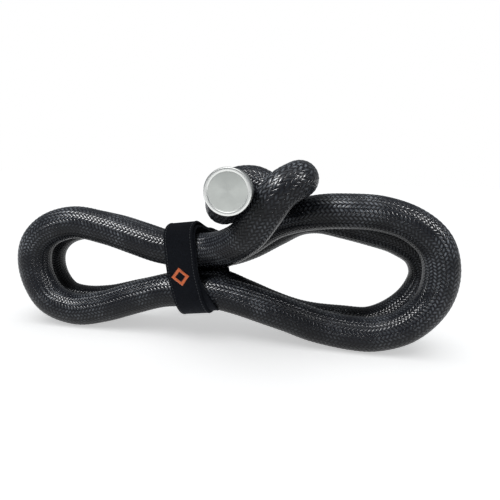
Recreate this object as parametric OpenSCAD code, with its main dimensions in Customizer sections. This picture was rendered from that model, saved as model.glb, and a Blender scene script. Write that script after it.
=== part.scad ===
// A thick braided cord wound into a pinched, two-looped hank: one strap holds the waist, and a turned
// metal cap closes each end. It stands on edge, +X along the hank and -Y towards the cap of end A.
// Millimetres. The origin is on the surface it stands on, under the middle of its outline.

/* [Cord] */
// Outside diameter of the braided sleeve
cord_d = 30; // [26:0.5:30]
// Thickness of the braid
braid_wall = 2; // [1.6:0.1:2.4]
// Thickness of the jacket under the braid
jacket_wall = 2.2; // [1.6:0.1:2.4]
// Diameter of one insulated conductor
conductor_d = 8.8; // [6:0.2:8.8]
// Distance from the cord's centre to a conductor's centre
conductor_ring_r = 5.3; // [5.2:0.1:5.4]
// Diameter of the strength cord between the conductors
strength_d = 1.4; // [1:0.1:1.6]

/* [Caps] */
// Outside diameter of a cap
cap_d = 34.5; // [34.5:0.5:38]
// Overall length of a cap
cap_len = 24; // [22:1:26]
// Thickness of a cap's end wall
cap_top = 3; // [2.5:0.5:4]
// Bore of a cap
cap_bore_d = 31; // [31:0.1:31.4]
// Width of the rolled rim round a cap's face
cap_rim_w = 2.6; // [2:0.2:3]
// Depth of a cap's face below its rim
cap_face_sink = 0.5; // [0.3:0.1:0.8]
// Turn of end A's axis away from straight forward, in degrees
end_a_turn = 6; // [0:1:8]

/* [Connectors] */
// Running clearance on radius between a cap's bore and the shell in it
thread_gap = 0.05; // [0.03:0.01:0.1]
// Length of the shell's head in front of the braid
head_len = 10.4; // [10:0.1:10.4]
// Length of the shell's spigot inside the braid
spigot_len = 8.5; // [6:0.5:8.5]
// Bore through the shell
shell_bore_d = 22; // [21.6:0.2:22.4]
// Thickness of the rubber liner in a cap
liner_t = 1.5; // [1:0.1:1.5]
// Diameter of a contact pin
pin_d = 4; // [3:0.1:4]
// Thickness of the seal ring
seal_d = 2; // [1.6:0.1:2]

/* [Strap] */
// Width of the strap with its bound edges
strap_w = 27; // [22:1:30]
// Thickness of one layer of strap
layer_t = 1.8; // [1.4:0.1:2]
// Thickness of the hook and loop patches
patch_t = 0.7; // [0.5:0.1:0.8]
// Turn of the strap that brings its rear to the right, in degrees
strap_turn = 2; // [0:1:6]
// Lean of the strap that brings its foot to the right, in degrees
strap_lean = 8; // [0:1:9]
// Diameter of the woven mark on the strap's front
mark_d = 17; // [12:1:20]

/* [Hidden] */

$fn = 64;
cord_r = cord_d / 2;
jacket_gap = 0.6;
jacket_r = cord_r - braid_wall - jacket_gap;
crimped_r = cord_r - 1;
skirt_len = cap_len - cap_top - head_len - liner_t - 0.1;
liner_z = head_len + 0.1;
top_z = liner_z + liner_t;
face_z = top_z + cap_top;
shell_r = cap_bore_d / 2 - thread_gap;
jacket_end = 16;
crimp_z = 10;
pin_back = 5;
wire_gap = 0.2;
wire_angles = [90, 210, 330];

// Moves the wound cord so that the origin is under the middle of its outline.
centre_shift = [17, 12.5, 0];
// Layers of the hank, front to back.
front = -15.5;
back = 15.5;
end_a = [3.5, -79, 137] + centre_shift;
end_b = [-76, 49, 67] + centre_shift;
axis_a = [sin(end_a_turn), -cos(end_a_turn), 0];
axis_b = [-1, 0, 0];

// The cord's way between the two straight ends, in the order it is wound.
lay = [
    // end A comes forward out of its curl over the first crossing
    [-2, -51, 128], [-10, -37, 123], [-13, -22, 130], [-5, -10, 141], [10, -8, 143], [27, -11, 137],
    [42, -20, 140], [52, -37, 147], [50, -53, 146], [40, -61, 139], [27, -58, 121], [14, -49, 103],
    [-4, -33, 90], [-25, -20, 83], [-50, front, 81],
    // left loop, front layer
    [-70, front, 81], [-98, front, 88], [-128, front, 96], [-158, front, 100], [-184, front, 92],
    [-198, front, 78], [-202, front, 60], [-198, front, 41], [-185, front, 23], [-160, front, 15],
    [-130, front, 20], [-99, front, 31], [-70, front, 40], [-50, front, 42], [-21, front, 42],
    // right loop, front layer
    [2, front, 38], [44, front, 27], [72, front, 19], [102, front, 15], [125, front, 16],
    [149, front, 26], [168, front, 48], [173, front, 74], [166, front, 97], [147, front, 113],
    [121, front, 121], [92, front, 122], [64, -10, 119], [30, 8, 107], [1, 15, 87],
    [-23, back, 74], [-50, back, 72],
    // left loop, back layer
    [-75, back, 77], [-104, back, 85], [-134, back, 92], [-163, back, 95], [-188, back, 87],
    [-203, back, 72], [-207, back, 55], [-202, back, 35], [-189, back, 20], [-168, back, 15],
    [-137, back, 18], [-104, back, 27], [-72, back, 36], [-50, back, 42], [-22, back, 42],
    // right loop, back layer
    [2, back, 34], [27, back, 25], [56, back, 17], [98, back, 15], [122, back, 16], [143, back, 26],
    [161, back, 45], [168, back, 66], [161, back, 85], [142, back, 97], [118, back, 104],
    // end B goes through the waist behind everything else
    [93, 17, 109], [68, 24, 112], [48, 35, 107], [28, 45, 95], [2, 49, 79], [-24, 49, 69],
    [-44, 49, 67]];

route = concat([end_a, end_a - crimp_z * axis_a, end_a - jacket_end * axis_a],
               [for (p = lay) p + centre_shift],
               [end_b - jacket_end * axis_b, end_b - crimp_z * axis_b, end_b]);
last = len(route) - 1;
inner_route = [for (i = [2 : last - 2]) route[i]];
wire_route = concat([end_a - (pin_back + wire_gap) * axis_a], inner_route,
                    [end_b - (pin_back + wire_gap) * axis_b]);
start_normal = [cos(end_a_turn), sin(end_a_turn), 0];

// Strap: the cord's passes that it goes round, seen along the hank as [depth, height].
waist = [-42.8, 12, 58] + centre_shift;
corner_passes = [[-29, -17], [6, -20], [40, 9.5], [-29, 26]];
band_in = cord_r + 0.9;
band_out = band_in + layer_t;
over_in = band_out + 0.1;
over_out = over_in + layer_t;
loop_out = band_out + 0.1 + patch_t;
hook_in = loop_out + 0.3;
hook_out = hook_in + patch_t;
tail_in = hook_out + 0.05;
tail_out = tail_in + layer_t;
hinge_y = 18;
tail_gap = 0.4;
tail_low = -14;
thread_t = 0.5;

function unit(v) = v / norm(v);
function square_to(v, t) = unit(v - (v * t) * t);
function tangents(path) =
    [for (i = [0 : len(path) - 1]) unit(path[min(i + 1, len(path) - 1)] - path[max(i - 1, 0)])];
function normals(tans) =
    [for (i = 0, n = square_to(start_normal, tans[0]); i < len(tans);
          i = i + 1, n = i < len(tans) ? square_to(n, tans[i]) : n) n];
function ring(p, t, n, r, sides, off, turn) =
    let (b = cross(t, n), c = p + off * (cos(turn) * n + sin(turn) * b))
    [for (k = [0 : sides - 1]) c + r * (cos(k * 360 / sides) * n + sin(k * 360 / sides) * b)];

// Points and wall faces of a tube along a path; radii holds one radius for each point of the path.
function tube_points(path, radii, sides, off, turn) =
    let (t = tangents(path), n = normals(t))
    [for (i = [0 : len(path) - 1]) each ring(path[i], t[i], n[i], radii[i], sides, off, turn)];
function wall_faces(rings, sides, first, outward) =
    [for (i = [0 : rings - 2], j = [0 : sides - 1], half = [0, 1])
        let (a = first + i * sides + j, b = first + i * sides + (j + 1) % sides,
             face = half == 0 ? [a, a + sides, b + sides] : [a, b + sides, b])
        outward ? face : [face[2], face[1], face[0]]];

module solid_tube(path, r, sides, off = 0, turn = 0) {
    rings = len(path);
    end = (rings - 1) * sides;
    polyhedron(tube_points(path, [for (p = path) r], sides, off, turn),
               concat(wall_faces(rings, sides, 0, true), [[for (j = [0 : sides - 1]) j]],
                      [[for (j = [sides - 1 : -1 : 0]) end + j]]));
}

module hollow_tube(path, outer, inner, sides) {
    rings = len(path);
    skin = rings * sides;
    end = (rings - 1) * sides;
    polyhedron(concat(tube_points(path, outer, sides, 0, 0), tube_points(path, inner, sides, 0, 0)),
               concat(wall_faces(rings, sides, 0, true), wall_faces(rings, sides, skin, false),
                      [for (j = [0 : sides - 1], half = [0, 1])
                          let (k = (j + 1) % sides)
                          half == 0 ? [j, k, skin + k] : [j, skin + k, skin + j]],
                      [for (j = [0 : sides - 1], half = [0, 1])
                          let (k = (j + 1) % sides)
                          half == 0 ? [end + k, end + j, skin + end + j]
                                    : [end + k, skin + end + j, skin + end + k]]));
}

module braided_sleeve() {
    outer = [for (i = [0 : last]) i < 2 || i > last - 2 ? crimped_r : cord_r];
    inner = [for (r = outer) cord_r - braid_wall];
    color("#1c1d20") hollow_tube(route, outer, inner, 12);
}

module core_jacket() {
    color("#2b2b2b") hollow_tube(inner_route, [for (p = inner_route) jacket_r],
                                 [for (p = inner_route) jacket_r - jacket_wall], 12);
}

module conductor(which) {
    solid_tube(wire_route, conductor_d / 2, 8, conductor_ring_r, wire_angles[which]);
}

module line_conductor() { color("#111111") conductor(0); }
module neutral_conductor() { color("white") conductor(1); }
module earth_conductor() { color("green") conductor(2); }
module strength_cord() { color("khaki") solid_tube(wire_route, strength_d / 2, 6); }

// Each end's own frame: +Z out of the cord, the braid ends at z = 0.
module at_end_a() { translate(end_a) rotate([90, 0, end_a_turn]) children(); }
module at_end_b() { translate(end_b) rotate([0, -90, 0]) children(); }

// Angles of the conductors about each end's own axis.
end_normal = let (n = normals(tangents(wire_route))) n[len(n) - 1];
turn_b = atan2(end_normal[1], end_normal[2]);
angles_a = [for (w = wire_angles) -w];
angles_b = [for (w = wire_angles) turn_b + w];

module at_contacts(angles) {
    for (w = angles) rotate(w) translate([conductor_ring_r, 0, 0]) children();
}

module shell() {
    groove_z = 7;
    color("silver") difference() {
        union() {
            translate([0, 0, -spigot_len]) cylinder(r = jacket_r, h = spigot_len + 1);
            cylinder(r = shell_r, h = head_len);
        }
        translate([0, 0, -spigot_len - 1]) cylinder(d = shell_bore_d, h = spigot_len + head_len + 2);
        translate([0, 0, groove_z - seal_d / 2]) difference() {
            cylinder(r = shell_r + 1, h = seal_d);
            translate([0, 0, -1]) cylinder(r = shell_r - seal_d, h = seal_d + 2);
        }
    }
}

module seal_ring() {
    groove_z = 7;
    color("#202020") translate([0, 0, groove_z])
        rotate_extrude() translate([shell_r - seal_d / 2 - 0.06, 0]) circle(d = seal_d - 0.1, $fn = 32);
}

module crimp_band() {
    color("silver") translate([0, 0, -skirt_len + 0.6]) difference() {
        cylinder(r = shell_r - 0.25, h = skirt_len - 1.2);
        translate([0, 0, -1]) cylinder(r = crimped_r + 0.05, h = skirt_len + 2);
    }
}

module insert(angles, front_z, hole_d) {
    color("#d8d2c4") difference() {
        translate([0, 0, 1 - pin_back]) cylinder(d = shell_bore_d - 0.1, h = front_z + pin_back - 1);
        translate([0, 0, -pin_back]) at_contacts(angles) cylinder(d = hole_d, h = front_z + pin_back + 1);
    }
}

module contact_pins() {
    tip = 1;
    pin_len = pin_back + 9.6;
    color("gold") translate([0, 0, -pin_back]) at_contacts(angles_a) {
        cylinder(d = pin_d, h = pin_len - tip);
        translate([0, 0, pin_len - tip]) cylinder(d1 = pin_d, d2 = pin_d - 2 * tip, h = tip);
    }
}

module contact_sockets() {
    socket_wall = 0.6;
    socket_len = pin_back + 9.2;
    color("gold") translate([0, 0, -pin_back]) at_contacts(angles_b) difference() {
        cylinder(d = pin_d + 0.1 + 2 * socket_wall, h = socket_len);
        translate([0, 0, 3]) cylinder(d = pin_d + 0.1, h = socket_len);
    }
}

module cap_liner() {
    color("#303030") translate([0, 0, liner_z]) cylinder(r = cap_bore_d / 2 - 0.2, h = liner_t);
}

module cap() {
    r = cap_d / 2;
    rim_r = 1.6;
    rim_in = r - cap_rim_w;
    color("#c9ccd0") rotate_extrude() difference() {
        union() {
            translate([0, -skirt_len]) square([r - 0.5, cap_len - cap_face_sink]);
            translate([0, -skirt_len + 0.5]) square([r, cap_len - rim_r - 0.5]);
            translate([r - rim_r, face_z - rim_r]) circle(r = rim_r, $fn = 48);
            translate([rim_in, face_z - rim_r]) square([cap_rim_w - rim_r, rim_r]);
        }
        translate([0, face_z - cap_face_sink]) square([rim_in, 1]);
        translate([0, -skirt_len - 1]) square([cap_bore_d / 2, skirt_len + top_z + 1]);
    }
}

// Outline at distance r round the strap's corner passes, with a round stretch at each.
function edge_turn(i) =
    let (n = len(corner_passes), d = corner_passes[(i + 1) % n] - corner_passes[i % n])
    atan2(d[1], d[0]) - 90;
function outline(r) =
    let (n = len(corner_passes), steps = 8)
    [for (i = [0 : n - 1])
        let (from = edge_turn(i + n - 1), to = edge_turn(i), sweep = (to - from + 720) % 360)
        for (k = [0 : steps])
            let (w = from + sweep * k / steps) corner_passes[i] + r * [cos(w), sin(w)]];

module at_waist() { translate(waist) rotate([0, -strap_lean, -strap_turn]) children(); }

// A layer of strap between two outlines, cut to the children's region; profile plane [depth, height].
module strap_layer(inner, outer, width) {
    at_waist() translate([-width / 2, 0, 0]) rotate([90, 0, 90]) linear_extrude(width)
        intersection() {
            difference() {
                polygon(outline(outer));
                polygon(outline(inner));
            }
            children();
        }
}

module everywhere() { square(400, center = true); }
module front_region() {
    polygon([[-80, -60], [6, -60], [6, -10], [hinge_y - tail_gap, 0], [hinge_y - tail_gap, 80], [-80, 80]]);
}
module rear_region(low) { polygon([[hinge_y, low], [120, low], [120, 80], [hinge_y, 80]]); }

module strap_band() { color("#18181a") strap_layer(band_in, band_out, strap_w) everywhere(); }
module strap_overlap() { color("#202022") strap_layer(over_in, over_out, strap_w) front_region(); }
module strap_loop_patch() {
    color("#2a2a2c") strap_layer(band_out + 0.1, loop_out, strap_w - 3) rear_region(tail_low);
}
module strap_hook_patch() {
    color("#303030") strap_layer(hook_in, hook_out, strap_w - 3) rear_region(tail_low + 4);
}
module strap_tail() { color("#202022") strap_layer(tail_in, tail_out, strap_w) rear_region(tail_low); }

// Two rows of thread along the edges of a layer.
module edge_rows(r) {
    row_inset = 2.2;
    for (side = [-1, 1]) at_waist()
        translate([side * (strap_w / 2 - row_inset) - thread_t / 2, 0, 0]) rotate([90, 0, 90])
            linear_extrude(thread_t) intersection() {
                difference() {
                    polygon(outline(r + thread_t + 0.02));
                    polygon(outline(r + 0.02));
                }
                children();
            }
}
module strap_stitching() {
    color("#101012") edge_rows(over_out)
        polygon([[-80, -60], [2, -60], [2, -12], [hinge_y - 2, 0], [hinge_y - 2, 80], [-80, 80]]);
}
module tail_stitching() { color("#101012") edge_rows(tail_out) rear_region(tail_low + 3); }

module woven_mark() {
    front_y = corner_passes[0][0] - over_out;
    mark_t = 0.6;
    mark_z = 2;
    mark_x = -1.5;
    color("orangered") at_waist() translate([mark_x, front_y - 0.02, mark_z]) rotate([90, 45, 0])
        translate([-mark_d * 0.35, -mark_d * 0.35, 0]) cube([mark_d * 0.7, mark_d * 0.7, mark_t]);
}

braided_sleeve();
core_jacket();
line_conductor();
neutral_conductor();
earth_conductor();
strength_cord();
at_end_a() shell();  // shell_a
at_end_a() crimp_band();  // crimp_band_a
at_end_a() insert(angles_a, 3, pin_d + 0.1);  // contact_insert_a
at_end_a() contact_pins();  // contact_pins_a
at_end_a() seal_ring();  // seal_ring_a
at_end_a() cap_liner();  // cap_liner_a
at_end_a() cap();  // cap_a
at_end_b() shell();  // shell_b
at_end_b() crimp_band();  // crimp_band_b
at_end_b() insert(angles_b, 9.6, pin_d + 1.4);  // contact_insert_b
at_end_b() contact_sockets();  // contact_sockets_b
at_end_b() seal_ring();  // seal_ring_b
at_end_b() cap_liner();  // cap_liner_b
at_end_b() cap();  // cap_b
strap_band();
strap_overlap();
strap_loop_patch();
strap_stitching();
woven_mark();
strap_tail();
strap_hook_patch();
tail_stitching();
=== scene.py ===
"""Looks of a thick braided power cord with a capped connector at each end, wound into a two-looped hank.

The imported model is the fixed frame: every piece here is built round it and rides on one of its bodies.
"""

import math

import bmesh
import bpy
import numpy as np
from bpy.props import FloatProperty, FloatVectorProperty, IntProperty, PointerProperty
from mathutils import Matrix, Vector


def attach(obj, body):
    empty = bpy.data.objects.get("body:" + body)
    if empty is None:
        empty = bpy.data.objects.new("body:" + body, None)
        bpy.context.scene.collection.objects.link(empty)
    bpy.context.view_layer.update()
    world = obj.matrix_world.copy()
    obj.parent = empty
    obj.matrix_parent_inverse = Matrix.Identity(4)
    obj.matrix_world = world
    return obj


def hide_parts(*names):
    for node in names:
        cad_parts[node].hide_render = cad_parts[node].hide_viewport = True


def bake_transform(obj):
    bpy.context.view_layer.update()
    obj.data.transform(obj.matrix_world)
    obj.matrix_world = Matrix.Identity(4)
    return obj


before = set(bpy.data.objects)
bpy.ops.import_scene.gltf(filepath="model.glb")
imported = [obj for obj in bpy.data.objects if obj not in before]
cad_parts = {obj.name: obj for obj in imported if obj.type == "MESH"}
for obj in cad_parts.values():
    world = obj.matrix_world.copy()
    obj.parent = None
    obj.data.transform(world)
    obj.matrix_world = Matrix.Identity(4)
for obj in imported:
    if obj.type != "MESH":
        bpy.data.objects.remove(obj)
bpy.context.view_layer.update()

bl_info = {
    "name": "Power cord hank",
    "version": (1, 0, 0),
    "blender": (4, 5, 0),
    "location": "3D View > Sidebar > Cord hank",
    "description": "Builds a braided power cord, its turned caps and its strap round a packed model",
    "category": "Object",
}

MM = 0.001

# ---------------------------------------------------------------- the cord's way, in metres

CENTRE_SHIFT = np.array([0.017, 0.0125, 0.0])
FRONT, BACK = -0.0155, 0.0155
END_A_TURN = math.radians(6)
END_A = np.array([0.0035, -0.079, 0.137]) + CENTRE_SHIFT
END_B = np.array([-0.076, 0.049, 0.067]) + CENTRE_SHIFT
AXIS_A = np.array([math.sin(END_A_TURN), -math.cos(END_A_TURN), 0.0])
AXIS_B = np.array([-1.0, 0.0, 0.0])
CRIMP_Z, JACKET_END, WIRE_END = 0.010, 0.016, 0.0052
# How far from an end the braid stays pinched, and over what length it fills out and its weave begins.
PINCH_END, PINCH_EASE, WEAVE_EASE = 0.009, 0.008, 0.012

LAY = [
    # end A comes forward out of its curl over the first crossing
    (-0.002, -0.051, 0.128), (-0.010, -0.037, 0.123), (-0.013, -0.022, 0.130), (-0.005, -0.010, 0.141),
    (0.010, -0.008, 0.143), (0.027, -0.011, 0.137), (0.042, -0.020, 0.140), (0.052, -0.037, 0.147),
    (0.050, -0.053, 0.146), (0.040, -0.061, 0.139), (0.027, -0.058, 0.121), (0.014, -0.049, 0.103),
    (-0.004, -0.033, 0.090), (-0.025, -0.020, 0.083), (-0.050, FRONT, 0.081),
    # left loop, front layer
    (-0.070, FRONT, 0.081), (-0.098, FRONT, 0.088), (-0.128, FRONT, 0.096), (-0.158, FRONT, 0.100),
    (-0.184, FRONT, 0.092), (-0.198, FRONT, 0.078), (-0.202, FRONT, 0.060), (-0.198, FRONT, 0.041),
    (-0.185, FRONT, 0.023), (-0.160, FRONT, 0.015), (-0.130, FRONT, 0.020), (-0.099, FRONT, 0.031),
    (-0.070, FRONT, 0.040), (-0.050, FRONT, 0.042), (-0.021, FRONT, 0.042),
    # right loop, front layer
    (0.002, FRONT, 0.038), (0.044, FRONT, 0.027), (0.072, FRONT, 0.019), (0.102, FRONT, 0.015),
    (0.125, FRONT, 0.016), (0.149, FRONT, 0.026), (0.168, FRONT, 0.048), (0.173, FRONT, 0.074),
    (0.166, FRONT, 0.097), (0.147, FRONT, 0.113), (0.121, FRONT, 0.121), (0.092, FRONT, 0.122),
    (0.064, -0.010, 0.119), (0.030, 0.008, 0.107), (0.001, 0.015, 0.087), (-0.023, BACK, 0.074),
    (-0.050, BACK, 0.072),
    # left loop, back layer
    (-0.075, BACK, 0.077), (-0.104, BACK, 0.085), (-0.134, BACK, 0.092), (-0.163, BACK, 0.095),
    (-0.188, BACK, 0.087), (-0.203, BACK, 0.072), (-0.207, BACK, 0.055), (-0.202, BACK, 0.035),
    (-0.189, BACK, 0.020), (-0.168, BACK, 0.015), (-0.137, BACK, 0.018), (-0.104, BACK, 0.027),
    (-0.072, BACK, 0.036), (-0.050, BACK, 0.042), (-0.022, BACK, 0.042),
    # right loop, back layer
    (0.002, BACK, 0.034), (0.027, BACK, 0.025), (0.056, BACK, 0.017), (0.098, BACK, 0.015),
    (0.122, BACK, 0.016), (0.143, BACK, 0.026), (0.161, BACK, 0.045), (0.168, BACK, 0.066),
    (0.161, BACK, 0.085), (0.142, BACK, 0.097), (0.118, BACK, 0.104),
    # end B goes through the waist behind everything else
    (0.093, 0.017, 0.109), (0.068, 0.024, 0.112), (0.048, 0.035, 0.107), (0.028, 0.045, 0.095),
    (0.002, 0.049, 0.079), (-0.024, 0.049, 0.069), (-0.044, 0.049, 0.067),
]
ROUTE = np.vstack([
    [END_A, END_A - CRIMP_Z * AXIS_A, END_A - JACKET_END * AXIS_A],
    np.array(LAY) + CENTRE_SHIFT,
    [END_B - JACKET_END * AXIS_B, END_B - CRIMP_Z * AXIS_B, END_B],
])
START_NORMAL = np.array([math.cos(END_A_TURN), math.sin(END_A_TURN), 0.0])

# ---------------------------------------------------------------- the strap's place, in metres

WAIST = np.array([-0.0428, 0.012, 0.058]) + CENTRE_SHIFT
STRAP_LEAN, STRAP_TURN = math.radians(8), math.radians(2)
STRAP_WAY = (Matrix.Translation(WAIST) @ Matrix.Rotation(-STRAP_TURN, 4, "Z")
             @ Matrix.Rotation(-STRAP_LEAN, 4, "Y"))
# The cord's passes that the strap goes round, as depth and height in its own frame.
CORNER_PASSES = np.array([(-0.029, -0.017), (0.006, -0.020), (0.040, 0.0095), (-0.029, 0.026)])
BAND_INNER = 15.9 * MM
OVERLAP_INNER = 17.8 * MM
LOOPS_INNER = 17.8 * MM
HOOKS_INNER = 18.8 * MM
TAIL_INNER = 19.55 * MM
HINGE_DEPTH, HINGE_HEIGHT, HINGE_HALF = 18 * MM, 37 * MM, 4 * MM
TAIL_LOW = -14 * MM
OVERLAP_END = 6 * MM
MARK_PLACE = (-1.5 * MM, 2 * MM)

# ---------------------------------------------------------------- the two ends' own frames

END_WAYS = {
    "a": (Matrix.Translation(END_A) @ Matrix.Rotation(END_A_TURN, 4, "Z")
          @ Matrix.Rotation(math.pi / 2, 4, "X")),
    "b": Matrix.Translation(END_B) @ Matrix.Rotation(-math.pi / 2, 4, "Y"),
}


class CordSettings(bpy.types.PropertyGroup):
    """Sizes and colours of the braided cord."""

    radius: FloatProperty(
        name="Radius", description="Radius of the braided sleeve", default=15 * MM, unit="LENGTH")
    crimped_radius: FloatProperty(
        name="Crimped radius", description="Radius of the braid under a crimp band",
        default=14 * MM, unit="LENGTH")
    wall: FloatProperty(
        name="Braid wall", description="Thickness of the braid", default=2 * MM, unit="LENGTH")
    strands: IntProperty(
        name="Strands", description="Strands that run each way round the cord", default=28, min=8)
    pitch: FloatProperty(
        name="Pitch", description="Length of one weave of the braid along the cord",
        default=3.5 * MM, unit="LENGTH")
    relief: FloatProperty(
        name="Relief", description="Height of a strand's crest over the cord's own radius",
        default=0.2 * MM, unit="LENGTH")
    jacket_radius: FloatProperty(
        name="Jacket radius", description="Radius of the jacket under the braid",
        default=12.4 * MM, unit="LENGTH")
    jacket_wall: FloatProperty(
        name="Jacket wall", description="Thickness of the jacket", default=2.2 * MM, unit="LENGTH")
    conductor_radius: FloatProperty(
        name="Conductor radius", description="Radius of one insulated conductor",
        default=4.4 * MM, unit="LENGTH")
    conductor_ring: FloatProperty(
        name="Conductor ring", description="Distance from the cord's centre to a conductor's centre",
        default=5.3 * MM, unit="LENGTH")
    strength_radius: FloatProperty(
        name="Strength cord radius", description="Radius of the cord between the conductors",
        default=0.7 * MM, unit="LENGTH")
    strand_colour: FloatVectorProperty(
        name="Strand colour", description="Colour of the braid's yarn", subtype="COLOR",
        default=(0.006, 0.007, 0.009), min=0, max=1)
    # Partly the colour of rubbed yarn, partly painted light on the yarns' crests.
    worn_and_crest_light_colour: FloatVectorProperty(
        name="Worn colour", description="Colour of the yarn where it is rubbed", subtype="COLOR",
        default=(0.085, 0.093, 0.104), min=0, max=1)


class CapSettings(bpy.types.PropertyGroup):
    """Sizes and colours of the turned caps and of the metal under them."""

    radius: FloatProperty(
        name="Radius", description="Outside radius of a cap", default=17.25 * MM, unit="LENGTH")
    bore: FloatProperty(name="Bore", description="Radius of a cap's bore", default=15.5 * MM, unit="LENGTH")
    skirt: FloatProperty(
        name="Skirt", description="How far a cap reaches back over the cord", default=9 * MM, unit="LENGTH")
    face: FloatProperty(
        name="Face", description="Height of a cap's rim over the braid's end",
        default=15 * MM, unit="LENGTH")
    floor: FloatProperty(
        name="Floor", description="Height of the inside of a cap's end wall",
        default=12 * MM, unit="LENGTH")
    rim: FloatProperty(name="Rim", description="Width of the rolled rim", default=2.6 * MM, unit="LENGTH")
    sink: FloatProperty(
        name="Face sink", description="Depth of the face below its rim", default=0.5 * MM, unit="LENGTH")
    shell_radius: FloatProperty(
        name="Shell radius", description="Outside radius of a connector's shell",
        default=15.45 * MM, unit="LENGTH")
    shell_bore: FloatProperty(
        name="Shell bore", description="Radius of the bore in a shell", default=11 * MM, unit="LENGTH")
    head: FloatProperty(
        name="Head", description="Length of a shell in front of the braid",
        default=10.4 * MM, unit="LENGTH")
    spigot: FloatProperty(
        name="Spigot", description="Length of a shell inside the braid", default=8.5 * MM, unit="LENGTH")
    thread_lead: FloatProperty(
        name="Thread lead", description="Travel of a cap in one turn", default=4 * MM, unit="LENGTH")
    thread_starts: IntProperty(
        name="Thread starts", description="Threads that run side by side", default=2, min=1)
    thread_depth: FloatProperty(
        name="Thread depth", description="Depth of the thread", default=0.6 * MM, unit="LENGTH")
    metal_colour: FloatVectorProperty(
        name="Metal colour", description="Colour of the satin metal", subtype="COLOR",
        default=(0.74, 0.765, 0.735), min=0, max=1)
    shell_colour: FloatVectorProperty(
        name="Shell colour", description="Colour of the shells", subtype="COLOR",
        default=(0.55, 0.56, 0.58), min=0, max=1)
    crimp_colour: FloatVectorProperty(
        name="Crimp colour", description="Colour of the crimp bands", subtype="COLOR",
        default=(0.45, 0.45, 0.46), min=0, max=1)


class StrapSettings(bpy.types.PropertyGroup):
    """Sizes and colours of the hook and loop strap."""

    width: FloatProperty(name="Width", description="Width of the strap", default=27 * MM, unit="LENGTH")
    layer: FloatProperty(
        name="Layer", description="Thickness of one layer", default=1.8 * MM, unit="LENGTH")
    patch: FloatProperty(
        name="Patch", description="Thickness of a hook or loop patch", default=0.7 * MM, unit="LENGTH")
    patch_inset: FloatProperty(
        name="Patch inset", description="From the strap's edge to a patch's edge",
        default=1.5 * MM, unit="LENGTH")
    stitch: FloatProperty(
        name="Stitch", description="Length of one stitch", default=2.6 * MM, unit="LENGTH")
    stitch_inset: FloatProperty(
        name="Stitch inset", description="From the strap's edge to a row of stitches",
        default=2.2 * MM, unit="LENGTH")
    edge_ridge: FloatProperty(
        name="Edge ridge", description="Height of the rolled ridge along each edge",
        default=0.45 * MM, unit="LENGTH")
    swell: FloatProperty(
        name="Swell", description="How far the outer layer stands off over the front top",
        default=2.6 * MM, unit="LENGTH")
    drift: FloatProperty(
        name="Drift", description="How far the inner layer's foot is pulled along the hank",
        default=11 * MM,
        unit="LENGTH")
    outer_drift: FloatProperty(
        name="Outer drift", description="How far the outer layer's foot is pulled along the hank",
        default=4.5 * MM,
        unit="LENGTH")
    layer_shift: FloatProperty(
        name="Layer shift", description="How far the outer layer is off the inner one along the hank",
        default=-1.3 * MM, unit="LENGTH")
    mark_size: FloatProperty(
        name="Mark size", description="From the woven mark's middle to its corners",
        default=8.3 * MM, unit="LENGTH")
    mark_band: FloatProperty(
        name="Mark band", description="From a corner of the mark's outline to the corner inside it",
        default=3.6 * MM, unit="LENGTH")
    fabric_colour: FloatVectorProperty(
        name="Fabric colour", description="Colour of the strap", subtype="COLOR",
        default=(0.0030, 0.0038, 0.0060), min=0, max=1)
    mark_colour: FloatVectorProperty(
        name="Mark colour", description="Colour of the woven mark's thread", subtype="COLOR",
        default=(0.95, 0.19, 0.04), min=0, max=1)


class StageSettings(bpy.types.PropertyGroup):
    """The floor, the light and the camera."""

    view_angle: FloatProperty(
        name="View angle", description="The camera's angle of view",
        default=math.radians(60), subtype="ANGLE")
    yaw: FloatProperty(
        name="Yaw", description="Turn of the camera to the left", default=math.radians(9), subtype="ANGLE")
    pitch: FloatProperty(
        name="Pitch", description="How far the camera looks down",
        default=math.radians(9.5), subtype="ANGLE")
    roll: FloatProperty(
        name="Roll", description="Turn of the camera about its own axis",
        default=math.radians(2), subtype="ANGLE")
    aim: FloatVectorProperty(
        name="Aim", description="What the camera aims at", subtype="TRANSLATION",
        default=(0.027, -0.0025, 0.0835))
    distance: FloatProperty(
        name="Distance", description="From the camera to what it aims at", default=0.387, unit="LENGTH")
    floor_colour: FloatVectorProperty(
        name="Floor colour", description="Colour of the floor", subtype="COLOR",
        default=(0.9, 0.9, 0.9), min=0, max=1)
    sky: FloatProperty(name="Sky", description="Strength of the light from all round", default=0.25, min=0)
    glow: FloatProperty(
        name="Glow", description="Light that comes up through the table's top", default=0.50, min=0)
    overhead: FloatProperty(
        name="Overhead", description="Strength of the overhead light", default=1.3, min=0)
    key: FloatProperty(name="Key", description="Power of the small lamp in front", default=20.0, min=0)
    side: FloatProperty(
        name="Side", description="Power of the small lamp on the right", default=12.0, min=0)


# ---------------------------------------------------------------- curves and frames along the cord


def smooth_route(points, per_span=24):
    """Points of a centripetal Catmull-Rom curve through the given points."""
    guarded = np.vstack([2 * points[0] - points[1], points, 2 * points[-1] - points[-2]])
    spans = []
    for a, b, c, d in zip(guarded, guarded[1:], guarded[2:], guarded[3:]):
        gaps = [np.linalg.norm(q - p) ** 0.5 for p, q in ((a, b), (b, c), (c, d))]
        knots = np.cumsum([0.0, *gaps])
        t = np.linspace(knots[1], knots[2], per_span, endpoint=False)[:, None]

        def mix(p, q, i, j):
            return (p * (knots[j] - t) + q * (t - knots[i])) / (knots[j] - knots[i])

        ab, bc, cd = mix(a, b, 0, 1), mix(b, c, 1, 2), mix(c, d, 2, 3)
        spans.append(mix(mix(ab, bc, 0, 2), mix(bc, cd, 1, 3), 1, 2))
    return np.vstack([*spans, points[-1:]])


def eased(t):
    """A smooth step from 0 to 1."""
    t = np.clip(t, 0, 1)
    return t * t * (3 - 2 * t)


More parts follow.
